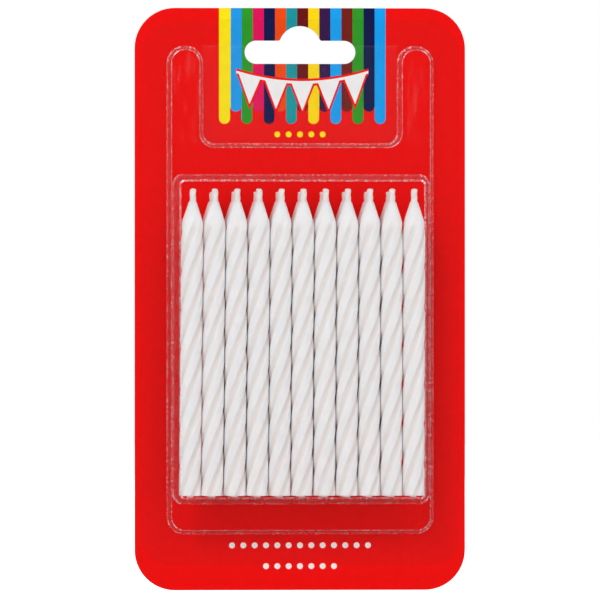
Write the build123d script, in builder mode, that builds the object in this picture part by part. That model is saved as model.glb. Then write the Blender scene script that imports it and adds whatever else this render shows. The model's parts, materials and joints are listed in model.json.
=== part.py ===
"""Carded blister pack of spiral birthday candles, in millimetres.

The pack hangs upright. +Z is up along the candles, the clear blister faces -Y, and the card's printed face is
the plane y = 0. The origin is the crown of the hang slot's arch, on that printed face.
"""
import os
from math import radians, tan

from build123d import *

# Candle
CANDLE_D = 4.55
BODY_LENGTH = 57.3
CONE_LENGTH = 4.65
CONE_TIP_D = 1.6
FLUTE_COUNT = 4
FLUTE_LEAD = 33.0
GROOVE_DEPTH = 0.28
GROOVE_R = 2.0
GROOVE_EDGE_R = 0.15
WICK_D = 1.35
WICK_STUB = 2.8
WICK_TAIL = 0.3
WICK_TIP_R = 0.25

# Two rows of candles as they lie in the pocket: each front candle's roll about its own axis and its lean to
# the right, in degrees, then the rear row, straight behind the front row and a little to its left
FRONT_TURNS = (21, 67, 15, 64, 11, 73, 40, 26, 10, 8, 10)
FRONT_LEANS = (0.55, 0.53, 0.46, 0.4, 0.38, 0.35, 0.26, 0.2, 0.18, 0.16, 0.15)
FRONT_COUNT = len(FRONT_TURNS)
REAR_COUNT = 9
REAR_TURN_STEP = 37
REAR_SHIFT = -0.3
CANDLE_GAP = 0.12
CARD_GAP = 0.25

# Formed sheet
SHEET = 0.3
POCKET_FRONT_GAP = 0.25
POCKET_SIDE_GAP = 0.24
POCKET_FLOOR_GAP = 0.35
POCKET_HEADROOM = 1.5
POCKET_DRAFT = 11.0
POCKET_CORNER_R = 0.8
POCKET_RIM_R = 0.5
STEP_HEIGHT = 3.7
STEP_DRAFT = 12.0
STEP_RIM_R = 0.2
STEP_SIDE_SHELF = 0.35
STEP_TOP_SHELF = 5.85
STEP_BOTTOM_SHELF = 5.7
STEP_CORNER_R = 3.4
TOWER_WIDTH = 7.2
TOWER_DROP = 4.5
TOWER_ROOT_R = 2.5
HEADER_DROP = 25.1
FLANGE_SIDE = 5.65
FLANGE_RISE = 1.4
FLANGE_BELOW = 6.65
FLANGE_TOP_R = 7.4
FLANGE_BOTTOM_R = 5.5

# Hang card
CARD_T = 0.45
CARD_CORNER_R = 8.5
CARD_SIDE = 1.35
CARD_RISE = 3.8
CARD_BELOW = 5.45
SLOT_WIDTH = 23.5
SLOT_HEIGHT = 4.9
ARCH_WIDTH = 8.6
ARCH_RISE = 3.1
ARCH_ROOT_R = 0.5

# Rows across the pack and into its depth
PITCH = CANDLE_D + CANDLE_GAP
WAX_LENGTH = BODY_LENGTH + CONE_LENGTH
CANDLE_LENGTH = WAX_LENGTH + WICK_STUB
REAR_DEPTH = CARD_GAP + CANDLE_D / 2
FRONT_DEPTH = REAR_DEPTH + PITCH
LEAN_RUN = CANDLE_LENGTH * tan(radians(max(FRONT_LEANS)))
ROW_HALF_WIDTH = (FRONT_COUNT - 1) * PITCH / 2 + CANDLE_D / 2 + LEAN_RUN / 2

# Inside of the pocket: its depth and its front outline
POCKET_DEPTH = FRONT_DEPTH + CANDLE_D / 2 + POCKET_FRONT_GAP
POCKET_SLOPE = tan(radians(POCKET_DRAFT))
POCKET_HALF_WIDTH = ROW_HALF_WIDTH + POCKET_SIDE_GAP - (POCKET_DEPTH - FRONT_DEPTH) * POCKET_SLOPE

# Inside of the low step, whose rim carries the pocket on a shelf
STEP_SLOPE = tan(radians(STEP_DRAFT))
STEP_RUN = STEP_HEIGHT * STEP_SLOPE
POCKET_RUN = (POCKET_DEPTH - STEP_HEIGHT) * POCKET_SLOPE
STEP_HALF_WIDTH = POCKET_HALF_WIDTH + POCKET_RUN + STEP_SIDE_SHELF + STEP_RUN
STEP_TOP = -HEADER_DROP
POCKET_TOP = STEP_TOP - STEP_RUN - STEP_TOP_SHELF - POCKET_RUN
CANDLE_TIP = POCKET_TOP - POCKET_HEADROOM
CANDLE_BASE = CANDLE_TIP - CANDLE_LENGTH
POCKET_BOTTOM = CANDLE_BASE - POCKET_FLOOR_GAP
STEP_BOTTOM = POCKET_BOTTOM - POCKET_RUN - STEP_BOTTOM_SHELF - STEP_RUN

# Flat outlines of the flange and of the card
FLANGE_HALF_WIDTH = STEP_HALF_WIDTH + FLANGE_SIDE
FLANGE_BOTTOM = STEP_BOTTOM - FLANGE_BELOW
CARD_HALF_WIDTH = FLANGE_HALF_WIDTH + CARD_SIDE
CARD_BOTTOM = FLANGE_BOTTOM - CARD_BELOW

os.makedirs("parts", exist_ok=True)


def slot_outline():
    """Hang slot with an arch in its upper edge, its crown at the sketch's origin."""
    slot_top = -ARCH_RISE
    with BuildSketch(Plane.XZ) as outline:
        with Locations((0, slot_top - SLOT_HEIGHT / 2)):
            SlotOverall(SLOT_WIDTH, SLOT_HEIGHT)
        with BuildLine():
            ThreePointArc((-ARCH_WIDTH / 2, slot_top), (0, 0), (ARCH_WIDTH / 2, slot_top))
            Line((ARCH_WIDTH / 2, slot_top), (-ARCH_WIDTH / 2, slot_top))
        make_face()
        arch_roots = outline.vertices().sort_by(lambda corner: abs(corner.X))[:2]
        fillet(arch_roots, ARCH_ROOT_R)
    return outline.sketch


def plate(half_width, top, bottom, top_r, bottom_r, thickness):
    """Flat sheet on the printed face's plane, with rounded corners and the hang slot."""
    with BuildPart() as sheet:
        with BuildSketch(Plane.XZ) as outline:
            with Locations((0, (top + bottom) / 2)):
                Rectangle(2 * half_width, top - bottom)
            fillet(outline.vertices().group_by(Axis.Y)[-1], top_r)
            fillet(outline.vertices().group_by(Axis.Y)[0], bottom_r)
        extrude(amount=thickness)
        extrude(slot_outline(), amount=thickness, mode=Mode.SUBTRACT)
    return sheet.part


def raised_form(skin):
    """Step, towers and pocket as one solid: the sheet's inside for skin 0, its outside for skin SHEET."""
    with BuildPart() as form:
        with BuildSketch(Plane.XZ) as step_foot:
            half_width = STEP_HALF_WIDTH + skin
            top = STEP_TOP + skin
            bottom = STEP_BOTTOM - skin
            tower_top = -TOWER_DROP + skin
            tower_width = TOWER_WIDTH + 2 * skin
            tower_length = tower_top - (top + bottom) / 2
            with Locations((0, (top + bottom) / 2)):
                Rectangle(2 * half_width, top - bottom)
            for side in (-1, 1):
                with Locations((side * (half_width - tower_width / 2), tower_top - tower_length / 2)):
                    SlotOverall(tower_length, tower_width, rotation=90)
            fillet(step_foot.vertices().group_by(Axis.Y)[0], STEP_CORNER_R + skin)
            tower_roots = step_foot.vertices().sort_by(
                lambda corner: abs(corner.Y - top) + abs(abs(corner.X) - half_width + tower_width)
            )[:2]
            fillet(tower_roots, TOWER_ROOT_R - skin)
        extrude(amount=STEP_HEIGHT + skin, taper=STEP_DRAFT)
        fillet(form.faces().sort_by(Axis.Y)[0].edges(), STEP_RIM_R + skin)

        with BuildSketch(Plane.XZ):
            depth = POCKET_DEPTH + skin
            spread = depth * POCKET_SLOPE + skin - skin * POCKET_SLOPE
            with Locations((0, (POCKET_TOP + POCKET_BOTTOM) / 2)):
                RectangleRounded(
                    2 * (POCKET_HALF_WIDTH + spread),
                    POCKET_TOP - POCKET_BOTTOM + 2 * spread,
                    POCKET_CORNER_R + spread,
                )
        extrude(amount=depth, taper=POCKET_DRAFT)
        fillet(form.faces().sort_by(Axis.Y)[0].edges(), POCKET_RIM_R + skin)
    return form.part


# Printed card behind everything
with BuildPart() as backing_card:
    add(plate(CARD_HALF_WIDTH, CARD_RISE, CARD_BOTTOM, CARD_CORNER_R, CARD_CORNER_R, -CARD_T))
backing_card.part.label = "backing_card"
export_step(backing_card.part, "parts/backing_card.step")

# Clear formed sheet: a flange on the card, with the raised form hollow behind it
with BuildPart() as blister_shell:
    add(plate(FLANGE_HALF_WIDTH, FLANGE_RISE, FLANGE_BOTTOM, FLANGE_TOP_R, FLANGE_BOTTOM_R, SHEET))
    add(raised_form(SHEET))
    add(raised_form(0), mode=Mode.SUBTRACT)
blister_shell.part.label = "blister_shell"
export_step(blister_shell.part, "parts/blister_shell.step")

# One candle's wax, standing on z = 0: a fluted bar twisted along its length and pointed at the top
with BuildSketch() as fluted_section:
    Circle(CANDLE_D / 2)
    with PolarLocations(CANDLE_D / 2 - GROOVE_DEPTH + GROOVE_R, FLUTE_COUNT):
        Circle(GROOVE_R, mode=Mode.SUBTRACT)
    fillet(fluted_section.vertices(), GROOVE_EDGE_R)

twisted_bar = Solid.extrude_linear_with_rotation(
    fluted_section.face(), (0, 0, 0), (0, 0, WAX_LENGTH), 360 * WAX_LENGTH / FLUTE_LEAD
)

with BuildPart() as candle_wax:
    add(twisted_bar)
    with BuildSketch(Plane.XZ):
        cone_slope = CONE_LENGTH / (CANDLE_D / 2 - CONE_TIP_D / 2)
        with BuildLine():
            Polyline(
                (CONE_TIP_D / 2, WAX_LENGTH),
                (CANDLE_D, WAX_LENGTH - (CANDLE_D - CONE_TIP_D / 2) * cone_slope),
                (CANDLE_D, CANDLE_LENGTH),
                (CONE_TIP_D / 2, CANDLE_LENGTH),
                close=True,
            )
        make_face()
    revolve(axis=Axis.Z, mode=Mode.SUBTRACT)
    Cylinder(
        WICK_D / 2, WAX_LENGTH, align=(Align.CENTER, Align.CENTER, Align.MIN), mode=Mode.SUBTRACT
    )

# One candle's wick, through the wax from just below its base to the end of the stub
with BuildPart() as candle_wick:
    with Locations((0, 0, -WICK_TAIL)):
        Cylinder(
            WICK_D / 2, WICK_TAIL + CANDLE_LENGTH, align=(Align.CENTER, Align.CENTER, Align.MIN)
        )
    fillet(candle_wick.edges().sort_by(Axis.Z)[-1], WICK_TIP_R)


def lay_candle(name, tip, depth, lean, turn):
    """Write one candle's wax and wick where it lies: its tip's place across, its lean and its roll."""
    base = tip - CANDLE_LENGTH * tan(radians(lean))
    for piece, form in (("wax", candle_wax), ("wick", candle_wick)):
        with BuildPart() as laid:
            with Locations(Location((base, -depth, CANDLE_BASE), (0, lean, turn))):
                add(form.part)
        laid.part.label = f"{name}_{piece}"
        export_step(laid.part, f"parts/{name}_{piece}.step")


# Front row, across the whole pocket: the tips stand close, and the feet fan out to the left
front_tips = [LEAN_RUN / 2 + (place - (FRONT_COUNT - 1) / 2) * PITCH for place in range(FRONT_COUNT)]
for place, turn in enumerate(FRONT_TURNS):
    lay_candle(f"front_candle_{place + 1:02d}", front_tips[place], FRONT_DEPTH, FRONT_LEANS[place], turn)

# Rear row, each candle behind one of the front row's and leaning as it does
for place in range(REAR_COUNT):
    ahead = place + (FRONT_COUNT - REAR_COUNT) // 2
    lay_candle(
        f"rear_candle_{place + 1:02d}",
        front_tips[ahead] + REAR_SHIFT,
        REAR_DEPTH,
        FRONT_LEANS[ahead],
        place * REAR_TURN_STEP,
    )

print(f"card {2 * CARD_HALF_WIDTH:.2f} x {CARD_RISE - CARD_BOTTOM:.2f}, pocket depth {POCKET_DEPTH + SHEET:.2f}")
print(f"candle base {CANDLE_BASE:.3f}, tip {CANDLE_TIP:.3f}, wax volume {candle_wax.part.volume:.1f}")
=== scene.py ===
"""Spiral birthday candles in a carded blister pack: the finished look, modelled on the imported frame."""

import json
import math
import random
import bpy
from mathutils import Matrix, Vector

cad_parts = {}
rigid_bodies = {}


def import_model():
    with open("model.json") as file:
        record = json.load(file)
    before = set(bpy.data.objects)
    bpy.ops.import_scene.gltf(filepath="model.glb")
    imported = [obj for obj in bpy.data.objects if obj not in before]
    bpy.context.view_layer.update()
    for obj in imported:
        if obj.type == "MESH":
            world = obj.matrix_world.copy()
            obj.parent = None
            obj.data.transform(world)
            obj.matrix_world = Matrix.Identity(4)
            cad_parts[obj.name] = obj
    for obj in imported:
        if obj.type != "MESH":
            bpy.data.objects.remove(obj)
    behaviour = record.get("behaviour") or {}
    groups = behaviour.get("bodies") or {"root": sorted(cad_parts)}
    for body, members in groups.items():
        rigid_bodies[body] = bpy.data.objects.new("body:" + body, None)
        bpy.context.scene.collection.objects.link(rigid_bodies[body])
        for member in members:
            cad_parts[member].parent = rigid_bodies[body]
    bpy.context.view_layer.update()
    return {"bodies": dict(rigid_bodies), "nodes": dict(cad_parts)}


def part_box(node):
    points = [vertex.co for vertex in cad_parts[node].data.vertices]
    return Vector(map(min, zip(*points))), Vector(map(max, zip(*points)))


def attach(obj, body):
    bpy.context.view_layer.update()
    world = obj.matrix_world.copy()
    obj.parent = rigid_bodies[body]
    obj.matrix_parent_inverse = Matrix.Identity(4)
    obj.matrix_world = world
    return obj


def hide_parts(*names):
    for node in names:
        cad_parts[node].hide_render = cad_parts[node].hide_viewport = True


bl_info = {
    "name": "Spiral Candle Pack",
    "version": (1, 0, 0),
    "blender": (4, 5, 0),
    "location": "3D View > Sidebar > Candle Pack",
    "description": "Models the printed card, clear formed sheet and spiral candles of a hanging pack",
    "category": "Add Mesh",
}

from functools import partial

import bmesh
import bpy
from bpy.props import FloatProperty, FloatVectorProperty, IntProperty, PointerProperty
from mathutils import Matrix, Vector

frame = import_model()

MM = 0.001
# Places nearer than this are one place
CLOSE = 0.001 * MM
SMOOTH_ANGLE = math.radians(40)
# The photograph: pixels across, the size of one on the pack, and the row at the hang slot's crown
PHOTO_PIXELS = 600
PIXEL = 0.21148 * MM
CROWN_ROW = 26.1
CARD_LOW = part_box("backing_card")[0]
SHEET_LOW, SHEET_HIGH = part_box("blister_shell")
FRONT_ROW = sorted(name for name in frame["bodies"] if name.startswith("front_candle"))
REAR_ROW = sorted(name for name in frame["bodies"] if name.startswith("rear_candle"))

# How far each candle is rolled about its own axis and leans to the right in the pocket, in degrees
FRONT_TURNS = (21, 67, 15, 64, 11, 73, 40, 26, 10, 8, 10)
FRONT_LEANS = (0.55, 0.53, 0.46, 0.4, 0.38, 0.35, 0.26, 0.2, 0.18, 0.16, 0.15)
REAR_TURN_STEP = 37
FIRST_BACKED = (len(FRONT_ROW) - len(REAR_ROW)) // 2


def linear(hex_colour):
    """Linear red, green, blue and alpha of an sRGB hex colour."""
    channels = [int(hex_colour[i : i + 2], 16) / 255 for i in (1, 3, 5)]
    return (*[c / 12.92 if c <= 0.04045 else ((c + 0.055) / 1.055) ** 2.4 for c in channels], 1.0)


def length(name, description, millimetres):
    return FloatProperty(
        name=name, description=description, default=millimetres * MM, unit="LENGTH", precision=5
    )


def colour(name, description, hex_colour):
    return FloatVectorProperty(
        name=name,
        description=description,
        default=linear(hex_colour),
        size=4,
        subtype="COLOR",
        min=0.0,
        max=1.0,
    )


class CandleSizes(bpy.types.PropertyGroup):
    """Sizes of one spiral candle"""

    diameter: length("Diameter", "Across the lands of the spiral", 4.648)
    body_length: length("Body length", "Fluted wax below the cone", 57.3)
    cone_length: length("Cone length", "Pointed wax above the body", 4.65)
    wick_length: length("Wick length", "Wick from its tail to the end of its stub", 65.05)
    cone_tip: length("Cone tip", "Diameter of the wax where the wick leaves it", 1.6)
    shoulder: length("Shoulder", "Softness of the turn from body to cone", 0.3)
    flute_count: IntProperty(name="Flutes", description="Starts of the spiral", default=4, min=1)
    flute_lead: length("Lead", "Rise of a flute in one turn", 33.0)
    groove_depth: length("Groove depth", "Depth of the groove below the lands", 0.34)
    groove_radius: length("Groove radius", "Hollow radius of the groove", 2.0)
    groove_edge: length("Groove edge", "Softness of the groove's edges", 0.07)
    foot_bevel: length("Foot bevel", "Worn edge round the cut base", 0.12)
    wick_diameter: length("Wick diameter", "Across the cotton wick", 1.35)
    ply_lead: length("Ply lead", "Rise of a ply of the wick in one turn", 5.5)
    ply_depth: length("Ply depth", "Depth between two plies of the wick", 0.1)
    rear_girth: FloatProperty(
        name="Rear girth", description="Girth of the rear row's candles over the front row's", default=0.99
    )
    rear_trim: length("Rear trim", "How much shorter the wicks of the rear row are cut", 0.6)


class SheetSizes(bpy.types.PropertyGroup):
    """Sizes of the clear formed sheet, measured on its outside"""

    thickness: length("Thickness", "Wall of the formed sheet", 0.26)
    flange_lift: length("Flange lift", "Front of the flange above the card", 0.3)
    flange_top_radius: length("Flange top radius", "Upper corners of the flange", 7.4)
    flange_bottom_radius: length("Flange bottom radius", "Lower corners of the flange", 5.5)
    step_lift: length("Step lift", "Front of the low step above the card", 4.0)
    step_half_width: length("Step half width", "Middle of the pack to the step's foot", 28.227)
    step_top: length("Step top", "Foot of the step below the header", -24.864)
    step_bottom: length("Step bottom", "Lower foot of the step", -107.4)
    step_run: length("Step run", "How far the step's wall leans in", 0.786)
    step_corner: length("Step corner", "Lower corners of the step", 3.64)
    step_rim: length("Step rim", "Rounding along the step's rim", 0.19)
    tower_width: length("Tower width", "Width of a tower's foot", 7.67)
    tower_top: length("Tower top", "Top of a tower's foot", -4.264)
    tower_root: length("Tower root", "Inside corner between tower and step", 2.26)
    pocket_half_width: length("Pocket half width", "Middle of the pack to the pocket's foot", 27.155)
    pocket_top: length("Pocket top", "Upper foot of the pocket", -31.436)
    pocket_bottom: length("Pocket bottom", "Lower foot of the pocket", -100.977)
    pocket_run: length("Pocket run", "How far the pocket's wall leans in", 1.17)
    pocket_corner: length("Pocket corner", "Corners of the pocket's foot", 2.27)
    pocket_rim: length("Pocket rim", "Rounding along the pocket's rim", 0.45)
    foot_strip: length("Foot strip", "Flat rim left round the foot of a wall", 0.12)
    foot_fillet: length("Foot fillet", "Rounding where a wall leaves a flat", 0.09)
    slot_width: length("Slot width", "Hang slot from end to end", 23.5)
    slot_height: length("Slot height", "Hang slot from edge to edge", 4.9)
    arch_width: length("Arch width", "Chord of the arch over the slot", 8.6)
    arch_rise: length("Arch rise", "Crown of the arch above the slot", 3.1)
    arch_root: length("Arch root", "Rounding where the arch meets the slot", 0.5)


class PrintSizes(bpy.types.PropertyGroup):
    """Sizes of the print on the card, from the hang slot's crown"""

    stripe_count: IntProperty(name="Stripes", description="Stripes in the header", default=15, min=1)
    stripe_width: length("Stripe width", "Width of one stripe", 2.355)
    stripe_middle: length("Stripe middle", "Middle of the stripes across the card", 0.5)
    stripe_end: length("Stripe end", "Lowest stripe end", -20.7)
    stripe_step: length("Stripe step", "How much shorter a short stripe is", 2.6)
    pennant_count: IntProperty(name="Pennants", description="Pennants on the garland", default=5, min=1)
    pennant_pitch: length("Pennant pitch", "From one pennant to the next", 5.6)
    pennant_drop: length("Pennant drop", "Length of a pennant", 6.0)
    pennant_line: length("Pennant line", "Height of the garland at its middle", -11.9)
    pennant_edge: length("Pennant edge", "Width of the red edge round a pennant", 0.5)
    garland_sag: length("Garland sag", "How far the garland's middle hangs below its ends", 2.2)
    garland_line: length("Garland line", "Half the width of the garland's line", 0.28)
    dot_radius: length("Dot radius", "Radius of a printed dot", 0.62)
    dot_pitch: length("Dot pitch", "From one dot to the next", 2.4)


class PackColours(bpy.types.PropertyGroup):
    """Colours of the pack"""

    card_red: colour("Card red", "Red print of the card", "#F00403")
    board: colour("Board", "Uncoated back and cut edges of the board", "#D9D4C9")
    wax: colour("Wax", "Paraffin wax of the candles", "#F3F2F3")
    # Painted shade: a darker, warmer wax colour for the grooves, standing in for the shade and warmer light
    # there
    groove: colour("Groove", "Warmer wax down in the grooves", "#E9E3E0")
    wick: colour("Wick", "Waxed cotton of the wicks", "#F3F1EF")
    pennant: colour("Pennant", "White of the garland and the dots", "#F4F2F1")
    dot_yellow: colour("Yellow dot", "Yellow of the small dots", "#FFE512")


STRIPE_COLOURS = (
    "#FFE50A", "#1E9BEA", "#2E9A24", "#E4065A", "#0B1550",
    "#F24A08", "#12969E", "#6E0C0E", "#FFD90A", "#3A1550",
    "#13A0EE", "#7A1C16", "#2E9A24", "#10164F", "#0AA0F0",
)


def add_node(tree, kind, inputs=(), **settings):
    """Add a node, set its options and fill its inputs. A node given as an input links its first output."""
    node = tree.nodes.new(kind)
    for name, value in settings.items():
        setattr(node, name, value)
    for key, value in dict(inputs).items():
        source = value.outputs[0] if isinstance(value, bpy.types.Node) else value
        if isinstance(source, bpy.types.NodeSocket):
            tree.links.new(source, node.inputs[key])
        else:
            node.inputs[key].default_value = value
    return node


def new_material(name):
    """An empty node material, and the call that adds a node to it."""
    material = bpy.data.materials.new(name)
    material.use_nodes = True
    material.node_tree.nodes.clear()
    return material, partial(add_node, material.node_tree)


def uneven(node, place, body, scale, detail, low, high, dullest):
    """Noise, and a colour that is duller where the noise is low."""
    noise = node("ShaderNodeTexNoise", {"Vector": place, "Scale": scale, "Detail": detail})
    tone = node("ShaderNodeMapRange", {0: noise, 1: low, 2: high, 3: dullest, 4: 1.0})
    mixed = node("ShaderNodeMix", {0: 1.0, 6: body, 7: tone}, data_type="RGBA", blend_type="MULTIPLY")
    return noise, mixed.outputs[2]


def printed_board(colours, print_sizes):
    """Solid bleached board, offset printed and varnished: even ink, soft gloss, a faint board grain."""
    material, node = new_material("Printed_varnished_board")
    place = node("ShaderNodeTexCoord").outputs["Object"]
    axes = node("ShaderNodeSeparateXYZ", {0: place})
    across, depth, height = axes.outputs[0], axes.outputs[1], axes.outputs[2]

    # Header stripes: a colour for each column, cut off by a round end at one of two lengths
    left = print_sizes.stripe_middle - print_sizes.stripe_count * print_sizes.stripe_width / 2
    from_left = node("ShaderNodeMath", {0: across, 1: left}, operation="SUBTRACT")
    column = node("ShaderNodeMath", {0: from_left, 1: print_sizes.stripe_width}, operation="DIVIDE")
    share = node("ShaderNodeMath", {0: column, 1: print_sizes.stripe_count}, operation="DIVIDE")
    stripes = node("ShaderNodeValToRGB", {0: share})
    ramp = stripes.color_ramp
    ramp.interpolation = "CONSTANT"
    for index, hex_colour in enumerate(STRIPE_COLOURS):
        stop = ramp.elements[index] if index < 2 else ramp.elements.new(1.0)
        stop.position = index / len(STRIPE_COLOURS)
        stop.color = linear(hex_colour)
    whole = node("ShaderNodeMath", {0: column}, operation="FLOOR")
    parity = node("ShaderNodeMath", {0: whole, 1: 2.0}, operation="FLOORED_MODULO")
    within = node("ShaderNodeMath", {0: column, 1: whole}, operation="SUBTRACT")
    off_middle = node("ShaderNodeMath", {0: within, 1: 0.5}, operation="SUBTRACT")
    squared = node("ShaderNodeMath", {0: off_middle, 1: off_middle}, operation="MULTIPLY")
    arc = node("ShaderNodeMath", {0: 0.25, 1: squared}, operation="SUBTRACT")
    arc = node("ShaderNodeMath", {0: arc}, operation="SQRT")
    end = node(
        "ShaderNodeMath",
        {0: parity, 1: print_sizes.stripe_step, 2: print_sizes.stripe_end + print_sizes.stripe_width / 2},
        operation="MULTIPLY_ADD",
    )
    end = node("ShaderNodeMath", {0: arc, 1: -print_sizes.stripe_width, 2: end}, operation="MULTIPLY_ADD")
    above_end = node("ShaderNodeMath", {0: height, 1: end}, operation="GREATER_THAN")
    half_share = node("ShaderNodeMath", {0: share, 1: 0.5}, operation="SUBTRACT")
    half_share = node("ShaderNodeMath", {0: half_share}, operation="ABSOLUTE")
    in_band = node("ShaderNodeMath", {0: half_share, 1: 0.5}, operation="LESS_THAN")
    striped = node("ShaderNodeMath", {0: above_end, 1: in_band}, operation="MULTIPLY")
    ink = node(
        "ShaderNodeMix", {0: striped, 6: tuple(colours.card_red), 7: stripes}, data_type="RGBA"
    ).outputs[2]

    # Garland of pennants on a sagging line: a red edge first, the white pennant inside it
    centred = node("ShaderNodeMath", {0: across, 1: print_sizes.stripe_middle}, operation="SUBTRACT")
    sag = node("ShaderNodeMath", {0: centred, 1: centred}, operation="MULTIPLY")
    garland_half = print_sizes.pennant_count / 2 * print_sizes.pennant_pitch
    line = node(
        "ShaderNodeMath",
        {0: sag, 1: print_sizes.garland_sag / garland_half**2, 2: print_sizes.pennant_line},
        operation="MULTIPLY_ADD",
    )
    below = node("ShaderNodeMath", {0: line, 1: height}, operation="SUBTRACT")
    pitch_place = node("ShaderNodeMath", {0: centred, 1: print_sizes.pennant_pitch}, operation="DIVIDE")
    nearest = node("ShaderNodeMath", {0: pitch_place}, operation="ROUND")
    off_pennant = node("ShaderNodeMath", {0: pitch_place, 1: nearest}, operation="SUBTRACT")
    off_pennant = node("ShaderNodeMath", {0: off_pennant}, operation="ABSOLUTE")
    reach = node("ShaderNodeMath", {0: centred}, operation="ABSOLUTE")
    in_reach = node("ShaderNodeMath", {0: reach, 1: garland_half}, operation="LESS_THAN")
    # Half a pennant's width as a share of the pitch, and how much taller an edge is along a leaning side
    pennant_half, leaning = 0.42, 2.4
    slope = print_sizes.pennant_drop / pennant_half
    for grow, ink_colour in ((print_sizes.pennant_edge, colours.card_red), (0.0, colours.pennant)):
        side = node("ShaderNodeMath", {0: off_pennant, 1: slope, 2: below}, operation="MULTIPLY_ADD")
        inside = node(
            "ShaderNodeMath",
            {0: side, 1: print_sizes.pennant_drop + leaning * grow},
            operation="LESS_THAN",
        )
        under = node("ShaderNodeMath", {0: below, 1: -grow}, operation="GREATER_THAN")
        inside = node("ShaderNodeMath", {0: inside, 1: under}, operation="MULTIPLY")
        on_line = node(
            "ShaderNodeMath", {0: below, 1: 0.0, 2: print_sizes.garland_line + grow}, operation="COMPARE"
        )
        inside = node("ShaderNodeMath", {0: inside, 1: on_line}, operation="MAXIMUM")
        inside = node("ShaderNodeMath", {0: inside, 1: in_reach}, operation="MULTIPLY")
        ink = node("ShaderNodeMix", {0: inside, 6: ink, 7: tuple(ink_colour)}, data_type="RGBA").outputs[2]

    # Rows of small dots: yellow under the header, white along the foot of the card
    dot_rows = (
        (-22.9 * MM, 5, colours.dot_yellow),
        (-109.8 * MM, 13, colours.pennant),
        (-114.2 * MM, 7, colours.pennant),
    )
    dot_place = node("ShaderNodeMath", {0: across, 1: print_sizes.dot_pitch}, operation="DIVIDE")
    dot_number = node("ShaderNodeMath", {0: dot_place}, operation="ROUND")
    off_dot = node("ShaderNodeMath", {0: dot_place, 1: dot_number}, operation="SUBTRACT")
    off_dot = node("ShaderNodeMath", {0: off_dot, 1: print_sizes.dot_pitch}, operation="MULTIPLY")
    dot_count = node("ShaderNodeMath", {0: dot_number}, operation="ABSOLUTE")
    for row_height, dots, ink_colour in dot_rows:
        off_row = node("ShaderNodeMath", {0: height, 1: row_height}, operation="SUBTRACT")
        spot = node("ShaderNodeCombineXYZ", {0: off_dot, 1: off_row})
        away = node("ShaderNodeVectorMath", {0: spot}, operation="LENGTH").outputs["Value"]
        dotted = node("ShaderNodeMath", {0: away, 1: print_sizes.dot_radius}, operation="LESS_THAN")
        counted = node("ShaderNodeMath", {0: dot_count, 1: dots / 2}, operation="LESS_THAN")
        dotted = node("ShaderNodeMath", {0: dotted, 1: counted}, operation="MULTIPLY")
        ink = node("ShaderNodeMix", {0: dotted, 6: ink, 7: tuple(ink_colour)}, data_type="RGBA").outputs[2]

    # Ink lies a little unevenly on the board, in patches of about 2 mm
    _, ink = uneven(node, place, ink, scale=500.0, detail=3.0, low=0.3, high=0.7, dullest=0.94)

    # The back and the cut edges are bare board with fibres about 0.3 mm wide
    fibres, bare = uneven(
        node, place, tuple(colours.board), scale=2600.0, detail=4.0, low=0.35, high=0.7, dullest=0.86
    )
    behind = node("ShaderNodeMath", {0: depth, 1: CARD_LOW.y + 0.05 * MM}, operation="GREATER_THAN")
    face = node("ShaderNodeMix", {0: behind, 6: ink, 7: bare}, data_type="RGBA").outputs[2]
    dullness = node("ShaderNodeMapRange", {0: behind, 3: 0.42, 4: 0.85})
    grain = node("ShaderNodeBump", {"Height": fibres, "Strength": 0.12, "Distance": 0.05 * MM})
    board = node(
        "ShaderNodeBsdfPrincipled",
        {"Base Color": face, "Roughness": dullness, "Normal": grain, "Specular IOR Level": 0.1},
    )
    node("ShaderNodeOutputMaterial", {0: board})
    return material


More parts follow.
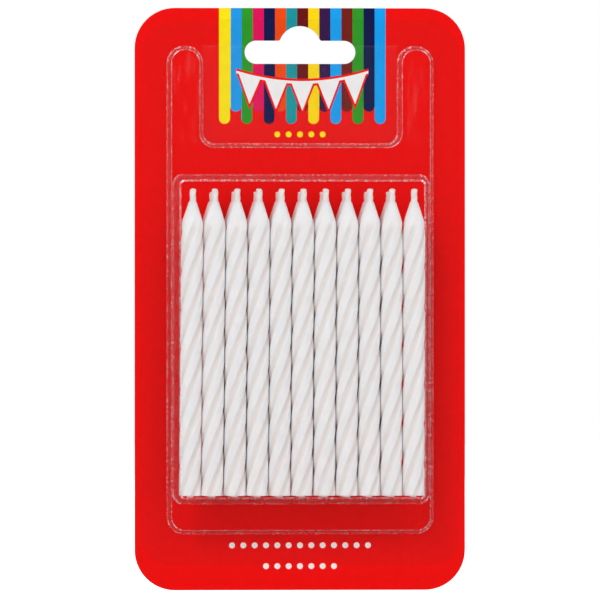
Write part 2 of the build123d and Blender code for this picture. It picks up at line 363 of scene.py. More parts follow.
def clear_sheet(sheet):
    """Thermoformed clear PET: see-through from the front, milky and mirror-like where a wall turns away."""
    material, node = new_material("Clear_formed_PET")
    place = node("ShaderNodeTexCoord").outputs["Object"]
    # The formed sheet ripples in waves of about 4 mm
    ripple = node("ShaderNodeTexNoise", {"Vector": place, "Scale": 260.0, "Detail": 2.0})
    waves = node("ShaderNodeBump", {"Height": ripple, "Strength": 0.2, "Distance": 0.25 * MM})
    facing = node("ShaderNodeLayerWeight", {"Blend": 0.5}).outputs["Facing"]
    steep = node("ShaderNodeMath", {0: facing, 1: 4.0}, operation="POWER")
    mirror_share = node("ShaderNodeMapRange", {0: steep, 3: 0.03, 4: 0.6})
    haze = node("ShaderNodeMapRange", {0: steep, 3: 0.0, 4: 0.17})
    # The walls are drawn thin unevenly, in patches of about 1.5 mm
    drawn = node("ShaderNodeTexNoise", {"Vector": place, "Scale": 700.0, "Detail": 3.0})
    drawn = node("ShaderNodeMapRange", {0: drawn, 1: 0.35, 2: 0.65, 3: 0.2, 4: 1.0})
    haze = node("ShaderNodeMath", {0: haze, 1: drawn}, operation="MULTIPLY")
    # Stretched bends turn cloudy, in streaks about 1 mm long with bright specks; this cloud, most at the
    # corners, is partly stress whitening and partly a painted highlight standing in for the lamps' glints
    # on the bends
    bend = node("ShaderNodeAttribute", attribute_name="bend").outputs["Fac"]
    streaks = node("ShaderNodeTexNoise", {"Vector": place, "Scale": 2200.0, "Detail": 2.0})
    cloudy_and_glints = node("ShaderNodeMapRange", {0: streaks, 1: 0.48, 2: 0.68, 3: 0.1, 4: 0.9})
    haze = node("ShaderNodeMath", {0: bend, 1: cloudy_and_glints, 2: haze}, operation="MULTIPLY_ADD")
    # Between the towers the sheet isn't sealed down: a trace paler, with a fine line along the seal's edge
    axes = node("ShaderNodeSeparateXYZ", {0: place})
    height = axes.outputs[2]
    reach = node("ShaderNodeMath", {0: axes.outputs[0]}, operation="ABSOLUTE")
    between = node(
        "ShaderNodeMath", {0: reach, 1: sheet.step_half_width - sheet.tower_width}, operation="LESS_THAN"
    )
    header_middle = (sheet.tower_top + sheet.step_top) / 2
    header_half = (sheet.tower_top - sheet.step_top) / 2
    loose = node("ShaderNodeMath", {0: height, 1: header_middle, 2: header_half}, operation="COMPARE")
    seal_edge = node("ShaderNodeMath", {0: height, 1: sheet.tower_top, 2: 0.1 * MM}, operation="COMPARE")
    pale = node("ShaderNodeMath", {0: loose, 1: 0.004}, operation="MULTIPLY")
    pale = node("ShaderNodeMath", {0: seal_edge, 1: 0.02, 2: pale}, operation="MULTIPLY_ADD")
    haze = node("ShaderNodeMath", {0: pale, 1: between, 2: haze}, operation="MULTIPLY_ADD")
    # The towers' fronts have faint pale streaks up and down, about 1 mm wide and 7 mm long
    upright = node("ShaderNodeMapping", {"Vector": place, "Scale": (1.0, 1.0, 0.15)})
    lines = node("ShaderNodeTexNoise", {"Vector": upright, "Scale": 900.0, "Detail": 3.0})
    faint = node("ShaderNodeMapRange", {0: lines, 1: 0.54, 2: 0.68, 3: 0.0, 4: 0.014})
    raised = node("ShaderNodeMath", {0: axes.outputs[1], 1: CARD_LOW.y - 1.5 * MM}, operation="LESS_THAN")
    high = node("ShaderNodeMath", {0: height, 1: sheet.step_top}, operation="GREATER_THAN")
    tower = node("ShaderNodeMath", {0: raised, 1: high}, operation="MULTIPLY")
    haze = node("ShaderNodeMath", {0: faint, 1: tower, 2: haze}, operation="MULTIPLY_ADD")
    # Seen edge on, the wall is a longer way through and a trace grey
    tint = node(
        "ShaderNodeMix", {0: steep, 6: linear("#FFFFFF"), 7: linear("#CDD2D4")}, data_type="RGBA"
    ).outputs[2]
    open_sheet = node("ShaderNodeBsdfTransparent", {"Color": tint})
    gloss = node(
        "ShaderNodeBsdfPrincipled",
        {"Base Color": linear("#FFFFFF"), "Metallic": 1.0, "Roughness": 0.07, "Normal": waves},
    )
    milk = node("ShaderNodeBsdfPrincipled", {"Base Color": linear("#F2F2F4"), "Roughness": 0.4})
    # The milk mixed in here holds the sheet's haze and the bends' painted glints
    body = node("ShaderNodeMixShader", {0: haze, 1: open_sheet, 2: milk})
    skin = node("ShaderNodeMixShader", {0: mirror_share, 1: body, 2: gloss})
    # A thin clear sheet takes hardly any light from what lies behind it
    path = node("ShaderNodeLightPath")
    lit = node(
        "ShaderNodeMath",
        {0: path.outputs["Is Shadow Ray"], 1: path.outputs["Is Diffuse Ray"]},
        operation="MAXIMUM",
    )
    clear_share = node("ShaderNodeMath", {0: lit, 1: 0.94}, operation="MULTIPLY")
    surface = node("ShaderNodeMixShader", {0: clear_share, 1: skin, 2: open_sheet})
    node("ShaderNodeOutputMaterial", {0: surface})
    return material


def painted_red_bounce(node, place, body):
    """Painted red light: tint the wax's colour with the card's red, the more the nearer it lies to the
    card, standing in for red light bounced off the card and seen through the translucent wax.
    """
    depth = node("ShaderNodeSeparateXYZ", {0: place}).outputs[1]
    glow = node("ShaderNodeMapRange", {0: depth, 1: -8.4 * MM, 2: -3.0 * MM, 3: 0.0, 4: 0.4})
    return node("ShaderNodeMix", {0: glow, 6: body, 7: linear("#E6B7AD")}, data_type="RGBA").outputs[2]


def candle_wax(colours):
    """Extruded paraffin: pale and translucent, satin, with a faint cloudiness and fine drag marks."""
    material, node = new_material("Extruded_paraffin_wax")
    place = node("ShaderNodeTexCoord").outputs["Object"]
    # Cloudiness in patches of about 3 mm
    cloud, body = uneven(
        node, place, tuple(colours.wax), scale=300.0, detail=4.0, low=0.3, high=0.7, dullest=0.95
    )
    # Painted shade: the wax is coloured darker and warmer down in the grooves, where less light comes back
    # out and what does is warmer
    groove = node("ShaderNodeAttribute", attribute_name="groove").outputs["Fac"]
    body = node(
        "ShaderNodeMix", {0: groove, 6: body, 7: tuple(colours.groove)}, data_type="RGBA"
    ).outputs[2]
    # Painted red light bounced off the card
    body = painted_red_bounce(node, place, body)
    shine = node("ShaderNodeMapRange", {0: cloud, 1: 0.3, 2: 0.7, 3: 0.34, 4: 0.5})
    # Drag marks, drawn about 0.5 mm wide, as coarse as they need to show
    marks = node("ShaderNodeTexNoise", {"Vector": place, "Scale": 1800.0, "Detail": 3.0})
    skin = node("ShaderNodeBump", {"Height": marks, "Strength": 0.15, "Distance": 0.05 * MM})
    wax = node(
        "ShaderNodeBsdfPrincipled",
        {
            "Base Color": body,
            "Roughness": shine,
            "IOR": 1.44,
            "Specular IOR Level": 0.15,
            "Subsurface Weight": 0.5,
            "Subsurface Radius": (1.0, 0.65, 0.55),
            "Subsurface Scale": 1.0 * MM,
            "Normal": skin,
        },
    )
    node("ShaderNodeOutputMaterial", {0: wax})
    return material


def waxed_cotton(colours):
    """Plied cotton drawn through wax: dull, off-white, with fibres along the plies."""
    material, node = new_material("Waxed_cotton_wick")
    place = node("ShaderNodeTexCoord").outputs["Object"]
    # Fibres, drawn about 0.2 mm wide and 1 mm long, as coarse as they need to show
    drawn = node("ShaderNodeMapping", {"Vector": place, "Scale": (1.0, 1.0, 0.2)})
    fibres, body = uneven(
        node, drawn, tuple(colours.wick), scale=5200.0, detail=3.0, low=0.3, high=0.7, dullest=0.9
    )
    # Painted red light bounced off the card
    body = painted_red_bounce(node, place, body)
    nap = node("ShaderNodeBump", {"Height": fibres, "Strength": 0.4, "Distance": 0.06 * MM})
    cotton = node(
        "ShaderNodeBsdfPrincipled",
        {"Base Color": body, "Roughness": 0.62, "Normal": nap, "Sheen Weight": 0.15},
    )
    node("ShaderNodeOutputMaterial", {0: cotton})
    return material


def choose(piece):
    """Select one piece alone and make it the active one."""
    bpy.ops.object.select_all(action="DESELECT")
    bpy.context.view_layer.objects.active = piece
    piece.select_set(True)


def edit(piece, mode):
    """Go into edit mode on one piece alone, with nothing selected."""
    choose(piece)
    bpy.ops.object.mode_set(mode="EDIT")
    bpy.ops.mesh.select_mode(type=mode)
    bpy.ops.mesh.select_all(action="DESELECT")


def pick(piece, kind, test):
    """Select the vertices, edges or faces of the piece in edit mode that pass a test."""
    bpy.ops.mesh.select_all(action="DESELECT")
    mesh = bmesh.from_edit_mesh(piece.data)
    for element in getattr(mesh, kind):
        element.select_set(bool(test(element)))
    mesh.select_flush_mode()
    bmesh.update_edit_mesh(piece.data)


def leave_edit():
    bpy.ops.object.mode_set(mode="OBJECT")


def close_up():
    """Turn every face of the piece in edit mode outwards and leave edit mode."""
    bpy.ops.mesh.select_all(action="SELECT")
    bpy.ops.mesh.normals_make_consistent(inside=False)
    leave_edit()


def apply_modifier(piece, kind, **settings):
    """Add a modifier to the piece, set it and apply it."""
    choose(piece)
    bpy.ops.object.modifier_add(type=kind)
    modifier = piece.modifiers[-1]
    for name, value in settings.items():
        setattr(modifier, name, value)
    bpy.ops.object.modifier_apply(modifier=modifier.name)


def join(first, *others):
    """Join other pieces into the first."""
    bpy.ops.object.select_all(action="DESELECT")
    for piece in (first, *others):
        piece.select_set(True)
    bpy.context.view_layer.objects.active = first
    bpy.ops.object.join()


def flat_plate(half_width, bottom, top, lift):
    """A rectangle that faces the front, lift away from the card."""
    bpy.ops.object.select_all(action="DESELECT")
    bpy.ops.mesh.primitive_plane_add(
        size=1, location=(0, -lift, (bottom + top) / 2), rotation=(math.pi / 2, 0, 0)
    )
    plate = bpy.context.object
    plate.scale = (2 * half_width, top - bottom, 1)
    bpy.ops.object.transform_apply(location=True, rotation=True, scale=True)
    return plate


def round_corners(plate, test, radius, segments=8):
    """Round the plate's corners that pass a test."""
    pick(plate, "verts", test)
    bpy.ops.mesh.bevel(offset=radius, segments=segments, affect="VERTICES", profile=0.5)


def raise_face(plate, sizes, foot_lift, front_lift, run, rim):
    """Pull the plate's one face forward with leaning walls inside a flat strip, and round both bends."""
    bpy.ops.mesh.select_mode(type="FACE")
    bpy.ops.mesh.select_all(action="SELECT")
    bpy.ops.mesh.inset(thickness=sizes.foot_strip, use_even_offset=True)
    bpy.ops.mesh.inset(thickness=run, depth=front_lift - foot_lift, use_even_offset=True)
    bpy.ops.mesh.region_to_loop()
    bpy.ops.mesh.bevel(offset=rim, segments=5, affect="EDGES", profile=0.5, loop_slide=False)
    bpy.ops.mesh.select_mode(type="EDGE")
    pick(
        plate,
        "edges",
        lambda e: not e.is_boundary
        and all(abs(v.co.y + foot_lift) < CLOSE and not v.is_boundary for v in e.verts),
    )
    bpy.ops.mesh.bevel(offset=sizes.foot_fillet, segments=3, affect="EDGES", profile=0.5, loop_slide=False)


def fill_between(shell, lift):
    """Put a flat sheet between the open loops that lie in one plane."""
    bpy.ops.mesh.select_mode(type="EDGE")
    pick(
        shell, "edges", lambda e: len(e.link_faces) < 2 and all(abs(v.co.y + lift) < CLOSE for v in e.verts)
    )
    bpy.ops.mesh.fill(use_beauty=True)


def drop_flat_face(shell, lift, least_area):
    """Delete the largest flat face in a plane, leaving its edges."""
    bpy.ops.mesh.select_mode(type="FACE")
    pick(
        shell,
        "faces",
        lambda f: f.calc_area() > least_area and all(abs(v.co.y + lift) < CLOSE for v in f.verts),
    )
    bpy.ops.mesh.delete(type="ONLY_FACE")


class CANDLEPACK_OT_stage(bpy.types.Operator):
    """Set up the floor, the soft studio light and the camera"""

    bl_idname = "candlepack.stage"
    bl_label = "Stage"

    def execute(self, context):
        scene = context.scene
        scene.view_settings.view_transform = "Standard"
        scene.cycles.transparent_max_bounces = 24
        scene.cycles.diffuse_bounces = 10

        # The photograph's frame, seen from a little left of square on
        frame_width = PHOTO_PIXELS * PIXEL
        distance = 2.0
        left_turn = math.radians(3.6)
        target = Vector((0, 0, (CROWN_ROW - PHOTO_PIXELS / 2) * PIXEL))
        camera_data = bpy.data.cameras.new("Camera")
        camera_data.sensor_width = 36.0
        camera_data.lens = camera_data.sensor_width * distance / frame_width
        camera_data.clip_end = 20.0
        camera = bpy.data.objects.new("Camera", camera_data)
        scene.collection.objects.link(camera)
        camera.location = target + distance * Vector((-math.sin(left_turn), -math.cos(left_turn), 0))
        camera.rotation_euler = (math.pi / 2, 0, -left_turn)
        scene.camera = camera

        # Softboxes out of the sheet's mirror line: the key above and to the left, a weaker one to the
        # right, a fill at each side and one behind for the card's back. Place, width, height and watts
        for name, place, width, height, power in (
            ("Key_softbox", (-0.4, -0.65, 0.7), 0.22, 0.22, 3.1),
            ("Second_softbox", (0.45, -0.65, 0.65), 0.15, 0.15, 1.1),
            ("Left_softbox", (-0.95, -0.75, -0.1), 0.5, 0.9, 1.7),
            ("Right_softbox", (0.95, -0.75, -0.1), 0.5, 0.9, 1.9),
            ("Rear_softbox", (0.4, 1.1, 0.3), 0.5, 0.5, 5.0),
        ):
            light = bpy.data.lights.new(name, "AREA")
            light.shape = "RECTANGLE"
            light.size = width
            light.size_y = height
            light.energy = power
            lamp = bpy.data.objects.new(name, light)
            scene.collection.objects.link(lamp)
            lamp.location = place
            lamp.rotation_euler = (target - lamp.location).to_track_quat("-Z", "Y").to_euler()

        # White seen behind the pack, a wide soft light from the front that the sheet doesn't mirror
        world = bpy.data.worlds.new("Studio")
        scene.world = world
        world.use_nodes = True
        world.node_tree.nodes.clear()
        node = partial(add_node, world.node_tree)
        path = node("ShaderNodeLightPath")
        straight = node(
            "ShaderNodeMath",
            {0: path.outputs["Is Camera Ray"], 1: path.outputs["Is Transmission Ray"]},
            operation="MAXIMUM",
        )
        away = node("ShaderNodeTexCoord").outputs["Generated"]
        rearward = node("ShaderNodeSeparateXYZ", {0: away}).outputs[1]
        mirrored = node("ShaderNodeMapRange", {0: rearward, 1: -0.2, 2: 0.2, 3: 0.02, 4: 1.0})
        frontal = node("ShaderNodeMapRange", {0: rearward, 1: -1.0, 2: 0.6, 3: 0.79, 4: 0.34})
        room = node("ShaderNodeMix", {0: path.outputs["Is Glossy Ray"], 2: frontal, 3: mirrored})
        glow = node("ShaderNodeMix", {0: straight, 2: room, 3: 1.0})
        sky = node("ShaderNodeBackground", {"Color": (1, 1, 1, 1), "Strength": glow})
        node("ShaderNodeOutputWorld", {0: sky})

        # Pale floor under the card's lower edge, dim where the clear sheet mirrors it, as the front room is
        bpy.ops.object.select_all(action="DESELECT")
        bpy.ops.mesh.primitive_plane_add(size=4.0, location=(0, 0, CARD_LOW.z))
        floor = context.object
        floor.name = "Floor"
        material, node = new_material("Pale_floor")
        path = node("ShaderNodeLightPath")
        paint = node("ShaderNodeBsdfDiffuse", {"Color": linear("#F0F0F0")})
        lift = node("ShaderNodeEmission", {"Color": (1, 1, 1, 1), "Strength": 0.75})
        bright = node("ShaderNodeAddShader", {0: paint, 1: lift})
        seen = node("ShaderNodeMixShader", {0: path.outputs["Is Camera Ray"], 1: paint, 2: bright})
        dim = node("ShaderNodeEmission", {"Color": (1, 1, 1, 1), "Strength": 0.03})
        seen = node("ShaderNodeMixShader", {0: path.outputs["Is Glossy Ray"], 1: seen, 2: dim})
        node("ShaderNodeOutputMaterial", {0: seen})
        floor.data.materials.append(material)
        return {"FINISHED"}


class CANDLEPACK_OT_card(bpy.types.Operator):
    """Print the hang card"""

    bl_idname = "candlepack.card"
    bl_label = "Printed card"

    def execute(self, context):
        card = frame["nodes"]["backing_card"]
        card.data.materials.clear()
        card.data.materials.append(printed_board(context.scene.pack_colours, context.scene.print_sizes))
        return {"FINISHED"}


class CANDLEPACK_OT_sheet(bpy.types.Operator):
    """Form the clear sheet: flange, low step with two towers, candle pocket and hang slot"""

    bl_idname = "candlepack.sheet"
    bl_label = "Clear formed sheet"

    def execute(self, context):
        sizes = context.scene.sheet_sizes
        step = self.low_step(sizes)
        pocket = self.candle_pocket(sizes)
        flange = self.flange(sizes)
        half_pocket_area = sizes.pocket_half_width * (sizes.pocket_top - sizes.pocket_bottom)

        # One shell: the pocket stands on the step, the step on the flange
        join(step, pocket)
        shell = step
        shell.name = "Clear_sheet"
        edit(shell, "FACE")
        drop_flat_face(shell, sizes.step_lift, half_pocket_area)
        fill_between(shell, sizes.step_lift)
        leave_edit()
        join(shell, flange)
        edit(shell, "FACE")
        drop_flat_face(shell, sizes.flange_lift, half_pocket_area)
        fill_between(shell, sizes.flange_lift)
        close_up()
        apply_modifier(shell, "SOLIDIFY", thickness=sizes.thickness, offset=-1.0, use_even_offset=True)
        self.punch_slot(shell, sizes)
        choose(shell)
        bpy.ops.object.shade_smooth_by_angle(angle=SMOOTH_ANGLE)
        apply_modifier(shell, "WEIGHTED_NORMAL", keep_sharp=True, weight=100)
        self.mark_bends(shell.data)
        shell.data.materials.clear()
        shell.data.materials.append(clear_sheet(sizes))
        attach(shell, "blister")
        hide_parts("blister_shell")
        return {"FINISHED"}

    def mark_bends(self, mesh):
        """Note which faces lie on a rounded bend, between the flats and the walls."""
        # How much of a normal points forward on a wall and on a flat, and both up and across at a corner
        wall, flat, slanting = 0.35, 0.97, 0.12
        # How cloudy a bend turns where it is stretched both ways, and along a straight, partly a painted
        # highlight standing in for the lamps' glints on the bends
        corner_cloud_and_glint, straight_cloud_and_glint = 1.4, 0.5
        bend = mesh.attributes.new("bend", "FLOAT", "CORNER")
        for face in mesh.polygons:
            rounded = wall < abs(face.normal.y) < flat
            at_corner = min(abs(face.normal.x), abs(face.normal.z)) > slanting
            cloud = (corner_cloud_and_glint if at_corner else straight_cloud_and_glint) if rounded else 0.0
            for corner in face.loop_indices:
                bend.data[corner].value = cloud

    def low_step(self, sizes):
        """The step's plate with its two towers, raised off the flange."""
        strip = sizes.foot_strip
        half_width = sizes.step_half_width + strip
        bottom = sizes.step_bottom - strip
        top = sizes.step_top + strip
        tower_top = sizes.tower_top + strip
        inner = half_width - sizes.tower_width - 2 * strip
        step = flat_plate(half_width, bottom, top, sizes.flange_lift)
        edit(step, "EDGE")
        for side in (-1, 1):
            bpy.ops.mesh.select_all(action="SELECT")
            bpy.ops.mesh.bisect(plane_co=(side * inner, 0, 0), plane_no=(1, 0, 0))
        pick(
            step,
            "edges",
            lambda e: all(v.co.z > top - CLOSE for v in e.verts)
            and abs(e.verts[0].co.x + e.verts[1].co.x) / 2 > inner + CLOSE,
        )
        bpy.ops.mesh.extrude_edges_move(TRANSFORM_OT_translate={"value": (0, 0, tower_top - top)})
        bpy.ops.mesh.select_all(action="SELECT")
        bpy.ops.mesh.dissolve_limited(angle_limit=math.radians(1))
        bpy.ops.mesh.select_mode(type="VERT")
        round_corners(step, lambda v: v.co.z > tower_top - CLOSE, sizes.step_corner + strip)
        round_corners(step, lambda v: abs(v.co.z - top) < CLOSE, sizes.tower_root - strip)
        round_corners(step, lambda v: v.co.z < bottom + CLOSE, sizes.step_corner + strip)
        raise_face(step, sizes, sizes.flange_lift, sizes.step_lift, sizes.step_run, sizes.step_rim)
        leave_edit()
        return step

    def candle_pocket(self, sizes):
        """The pocket's plate, raised off the step."""
        strip = sizes.foot_strip
        pocket = flat_plate(
            sizes.pocket_half_width + strip,
            sizes.pocket_bottom - strip,
            sizes.pocket_top + strip,
            sizes.step_lift,
        )
        edit(pocket, "VERT")
        round_corners(pocket, lambda v: True, sizes.pocket_corner + strip)
        raise_face(pocket, sizes, sizes.step_lift, -SHEET_LOW.y, sizes.pocket_run, sizes.pocket_rim)
        leave_edit()
        return pocket

    def flange(self, sizes):
        """The flat sheet that is sealed to the card."""
        flange = flat_plate(SHEET_HIGH.x, SHEET_LOW.z, SHEET_HIGH.z, sizes.flange_lift)
        edit(flange, "VERT")
        round_corners(flange, lambda v: v.co.z > SHEET_HIGH.z - CLOSE, sizes.flange_top_radius)
        round_corners(flange, lambda v: v.co.z < SHEET_LOW.z + CLOSE, sizes.flange_bottom_radius)
        leave_edit()
        return flange

    def punch_slot(self, shell, sizes):
        """Cut the hang slot with a round-ended punch that has an arched top."""
        slot_top = -sizes.arch_rise
        reach = 2 * MM
        near = 0.05 * MM
        # A hair under half the height, so that the two corners of an end stay apart
        end_radius = 0.4995 * sizes.slot_height
        punch = flat_plate(sizes.slot_width / 2, slot_top - sizes.slot_height, slot_top, reach)
        edit(punch, "VERT")
        round_corners(punch, lambda v: True, end_radius, segments=10)
        bpy.ops.mesh.select_mode(type="FACE")
        bpy.ops.mesh.select_all(action="SELECT")
        bpy.ops.mesh.extrude_region_move(TRANSFORM_OT_translate={"value": (0, 2 * reach, 0)})
        close_up()
        half_chord = sizes.arch_width / 2
        arch_radius = (half_chord**2 + sizes.arch_rise**2) / (2 * sizes.arch_rise)
        bpy.ops.object.select_all(action="DESELECT")
        bpy.ops.mesh.primitive_cylinder_add(
            vertices=64, radius=arch_radius, depth=2 * reach,
            location=(0, 0, -arch_radius), rotation=(math.pi / 2, 0, 0),
        )
        arch = bpy.context.object
        bpy.ops.object.transform_apply(location=True, rotation=True, scale=True)
        edit(arch, "FACE")
        bpy.ops.mesh.select_all(action="SELECT")
        bpy.ops.mesh.bisect(
            plane_co=(0, 0, slot_top - sizes.slot_height / 2),
            plane_no=(0, 0, 1),
            clear_inner=True,
            use_fill=True,
        )
        leave_edit()
        apply_modifier(punch, "BOOLEAN", operation="UNION", object=arch, solver="EXACT")
        edit(punch, "EDGE")
        pick(
            punch,
            "edges",
            lambda e: abs(e.verts[0].co.y - e.verts[1].co.y) > MM
            and all(abs(v.co.z - slot_top) < near for v in e.verts)
            and all(abs(abs(v.co.x) - half_chord) < near for v in e.verts),
        )
        bpy.ops.mesh.bevel(offset=sizes.arch_root, segments=4, affect="EDGES", profile=0.5)
        leave_edit()
        apply_modifier(shell, "BOOLEAN", operation="DIFFERENCE", object=punch, solver="EXACT")
        for tool in (punch, arch):
            bpy.data.objects.remove(tool)


def twisted_rod(ring_radius, points, rod_length, lead, rings, inner_radius):
    """A closed rod up from z = 0: a ring shaped by ring_radius, screwed up, round a bore."""
    bpy.ops.object.select_all(action="DESELECT")
    bpy.ops.mesh.primitive_circle_add(vertices=points, radius=1.0, fill_type="NOTHING")
    rod = bpy.context.object
    for vertex in rod.data.vertices:
        angle = math.atan2(vertex.co.y, vertex.co.x)
        vertex.co.xy = ring_radius(angle) * Vector((math.cos(angle), math.sin(angle)))
    apply_modifier(
        rod,
        "SCREW",
        angle=2 * math.pi * rod_length / lead,
        screw_offset=rod_length,
        steps=rings,
        render_steps=rings,
        use_smooth_shade=True,
    )
    edit(rod, "EDGE")
    for end in (0.0, rod_length):
        pick(
            rod, "edges", lambda e: e.is_boundary and all(abs(v.co.z - end) < CLOSE for v in e.verts)
        )
        bpy.ops.mesh.extrude_edges_move(TRANSFORM_OT_translate={"value": (0, 0, 0)})
        mesh = bmesh.from_edit_mesh(rod.data)
        for vertex in mesh.verts:
            if vertex.select:
                vertex.co.xy = inner_radius * vertex.co.xy.normalized()
        bmesh.update_edit_mesh(rod.data)
    pick(rod, "edges", lambda e: e.is_boundary)
    bpy.ops.mesh.bridge_edge_loops()
    close_up()
    return rod


def lay_copies(form, kind, material, rear_girth, rear_trim=0.0):
    """Copy a candle's form to each place in both rows, leaning and rolled as the candle lies there."""
    tall = max(vertex.co.z for vertex in form.data.vertices)
    as_made = Matrix.Identity(4)
    rear_cut = Matrix.Diagonal((rear_girth, rear_girth, 1.0 - rear_trim / tall, 1.0))
    laid = [(*lie, as_made) for lie in zip(FRONT_ROW, FRONT_LEANS, FRONT_TURNS)]
    for index, name in enumerate(REAR_ROW):
        lean = FRONT_LEANS[index + FIRST_BACKED]
        laid.append((name, lean, index * REAR_TURN_STEP, rear_cut))
    for name, lean, turn, cut in laid:
        low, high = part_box(f"{name}_{kind}")
        middle = Vector(((low.x + high.x) / 2, (low.y + high.y) / 2, (low.z + high.z) / 2))
        piece = form.copy()
        piece.data = form.data.copy()
        piece.name = f"{kind.capitalize()}_{name}"
        bpy.context.scene.collection.objects.link(piece)
        piece.data.transform(
            Matrix.Translation(middle)
            @ Matrix.Rotation(math.radians(lean), 4, "Y")
            @ Matrix.Rotation(math.radians(turn), 4, "Z")
            @ Matrix.Translation((0, 0, -tall / 2))
            @ cut
        )
        piece.data.materials.clear()
        piece.data.materials.append(material)
        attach(piece, name)
        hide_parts(f"{name}_{kind}")
    bpy.data.objects.remove(form)


class CANDLEPACK_OT_wax(bpy.types.Operator):
    """Model the spiral wax bodies"""

    bl_idname = "candlepack.wax"
    bl_label = "Spiral wax bodies"

    def execute(self, context):
        sizes = context.scene.candle_sizes
        radius = sizes.diameter / 2
        rod_length = sizes.body_length + sizes.cone_length
        groove_place = radius - sizes.groove_depth + sizes.groove_radius

        def soft_least(a, b, softness):
            """The lesser of two lengths, eased where they meet."""
            ease = max(softness - abs(a - b), 0.0) / softness
            return min(a, b) - ease * ease * softness / 4

        def fluted(angle):
            """How far out the wax reaches at an angle: a land, or the hollow of a groove."""
            flute = 2 * math.pi / sizes.flute_count
            off = (angle + flute / 2) % flute - flute / 2
            reach = sizes.groove_radius**2 - (groove_place * math.sin(off)) ** 2
            hollow = groove_place * math.cos(off) - math.sqrt(reach) if reach > 0 else 2 * radius
            return soft_least(radius, hollow, sizes.groove_edge)

        wax = twisted_rod(
            fluted,
            points=24 * sizes.flute_count,
            rod_length=rod_length,
            lead=sizes.flute_lead,
            rings=120,
            inner_radius=sizes.wick_diameter / 2,
        )
        # The grooves' painted shade fades out just below the cone, and the cone takes over from the flutes
        # there
        fade = 4
        cone_start = -0.3
        # How deep each point lies in a groove, which the wax material turns into painted shade
        groove = wax.data.attributes.new("groove", "FLOAT", "POINT")
        for vertex in wax.data.vertices:
            outward = vertex.co.xy.length
            up = (vertex.co.z - sizes.body_length) / sizes.cone_length
            deep = min(1.0, (radius - outward) / sizes.groove_depth)
            groove.data[vertex.index].value = deep * min(1.0, max(0.0, -fade * up))
            cone = radius + (sizes.cone_tip / 2 - radius) * up
            if up > cone_start and outward > sizes.wick_diameter / 2 + 0.01 * MM:
                vertex.co.xy *= max(soft_least(outward, cone, sizes.shoulder), sizes.cone_tip / 2) / outward
        edit(wax, "EDGE")
        pick(
            wax,
            "edges",
            lambda e: all(v.co.z < CLOSE and v.co.xy.length > 0.6 * radius for v in e.verts),
        )
        bpy.ops.mesh.bevel(offset=sizes.foot_bevel, segments=2, affect="EDGES", profile=0.5)
        leave_edit()
        bpy.ops.object.shade_smooth_by_angle(angle=SMOOTH_ANGLE)
        material = candle_wax(context.scene.pack_colours)
        lay_copies(wax, "wax", material, sizes.rear_girth)
        return {"FINISHED"}


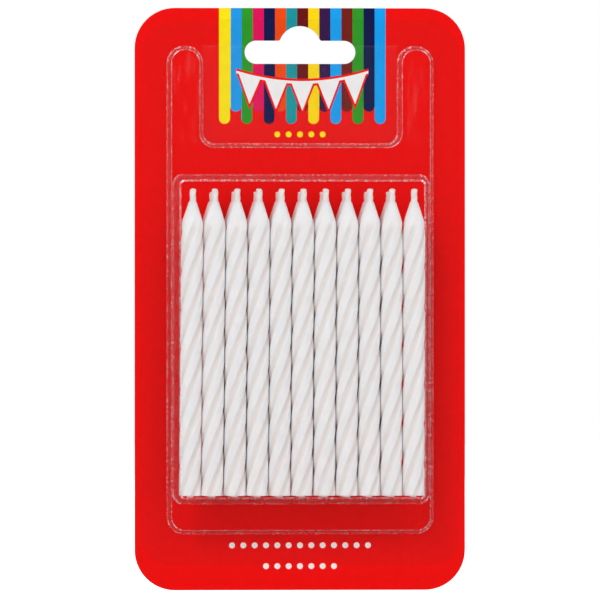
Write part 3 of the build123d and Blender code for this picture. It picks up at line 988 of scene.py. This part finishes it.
class CANDLEPACK_OT_wicks(bpy.types.Operator):
    """Model the plied cotton wicks"""

    bl_idname = "candlepack.wicks"
    bl_label = "Cotton wicks"

    def execute(self, context):
        sizes = context.scene.candle_sizes
        radius = sizes.wick_diameter / 2
        rod_length = sizes.wick_length
        plies = 3

        def plied(angle):
            """How far out the cotton reaches at an angle, less between two plies."""
            return radius - sizes.ply_depth * (0.5 + 0.5 * math.cos(plies * angle)) ** 2

        wick = twisted_rod(
            plied,
            points=36,
            rod_length=rod_length,
            lead=sizes.ply_lead,
            rings=180,
            inner_radius=0.15 * radius,
        )
        self.part_plies(wick, rod_length, sizes, plies)
        fibres = self.loose_fibres(rod_length, radius)
        join(wick, *fibres)
        material = waxed_cotton(context.scene.pack_colours)
        lay_copies(wick, "wick", material, sizes.rear_girth, sizes.rear_trim)
        return {"FINISHED"}

    def part_plies(self, wick, rod_length, sizes, plies):
        """Round off each ply at the cut end and let the plies spread a little."""
        cut = 0.45 * MM
        valley_drop, edge_drop = 0.22 * MM, 0.16 * MM
        spread, rounding = 0.04, 0.12
        top_turn = 2 * math.pi * rod_length / sizes.ply_lead
        for vertex in wick.data.vertices:
            near_end = (vertex.co.z - rod_length + cut) / cut
            if near_end <= 0:
                continue
            angle = math.atan2(vertex.co.y, vertex.co.x) - top_turn
            valley = 0.5 + 0.5 * math.cos(plies * angle)
            edge = vertex.co.xy.length / (sizes.wick_diameter / 2)
            vertex.co.z -= near_end * (valley_drop * valley + edge_drop * edge**4)
            vertex.co.xy *= 1.0 + spread * near_end - rounding * near_end**4

    def loose_fibres(self, rod_length, radius):
        """Short cotton ends that stand out of the cut end of the wick."""
        fibre_count = 7
        sunk = 0.42 * MM
        root, tip = 0.045 * MM, 0.015 * MM
        draw = random.Random(20)
        fibres = []
        for index in range(fibre_count):
            angle = 2 * math.pi * (index + draw.random()) / fibre_count
            reach = radius * draw.uniform(0.35, 0.8)
            tilt = draw.uniform(0.1, 0.6)
            long = draw.uniform(0.25, 0.4) * MM
            bpy.ops.object.select_all(action="DESELECT")
            bpy.ops.mesh.primitive_cone_add(
                vertices=5, radius1=root, radius2=tip, depth=long, location=(0, 0, 0)
            )
            fibre = bpy.context.object
            foot = Vector((reach * math.cos(angle), reach * math.sin(angle), rod_length - sunk))
            turned = Matrix.Rotation(angle, 4, "Z") @ Matrix.Rotation(tilt, 4, "Y")
            fibre.data.transform(
                Matrix.Translation(foot) @ turned @ Matrix.Translation((0, 0, 0.4 * long))
            )
            fibres.append(fibre)
        return fibres


class CANDLEPACK_PT_panel(bpy.types.Panel):
    """Lists the steps that model the pack"""

    bl_idname = "CANDLEPACK_PT_panel"
    bl_label = "Candle Pack"
    bl_space_type = "VIEW_3D"
    bl_region_type = "UI"
    bl_category = "Candle Pack"

    def draw(self, context):
        for operator in OPERATORS:
            self.layout.operator(operator.bl_idname)
        for group in SETTINGS:
            box = self.layout.box()
            settings = getattr(context.scene, group)
            for name in settings.bl_rna.properties.keys():
                if name not in ("rna_type", "name"):
                    box.prop(settings, name)


OPERATORS = (
    CANDLEPACK_OT_stage,
    CANDLEPACK_OT_card,
    CANDLEPACK_OT_sheet,
    CANDLEPACK_OT_wax,
    CANDLEPACK_OT_wicks,
)
SETTINGS = {
    "candle_sizes": CandleSizes,
    "sheet_sizes": SheetSizes,
    "print_sizes": PrintSizes,
    "pack_colours": PackColours,
}


def register():
    for group, settings in SETTINGS.items():
        bpy.utils.register_class(settings)
        setattr(bpy.types.Scene, group, PointerProperty(type=settings))
    for operator in OPERATORS:
        bpy.utils.register_class(operator)
    bpy.utils.register_class(CANDLEPACK_PT_panel)


def unregister():
    bpy.utils.unregister_class(CANDLEPACK_PT_panel)
    for operator in reversed(OPERATORS):
        bpy.utils.unregister_class(operator)
    for group, settings in SETTINGS.items():
        delattr(bpy.types.Scene, group)
        bpy.utils.unregister_class(settings)


def main():
    register()
    bpy.ops.candlepack.stage()
    bpy.ops.candlepack.card()
    bpy.ops.candlepack.sheet()
    bpy.ops.candlepack.wax()
    bpy.ops.candlepack.wicks()


if __name__ == "__main__":
    main()
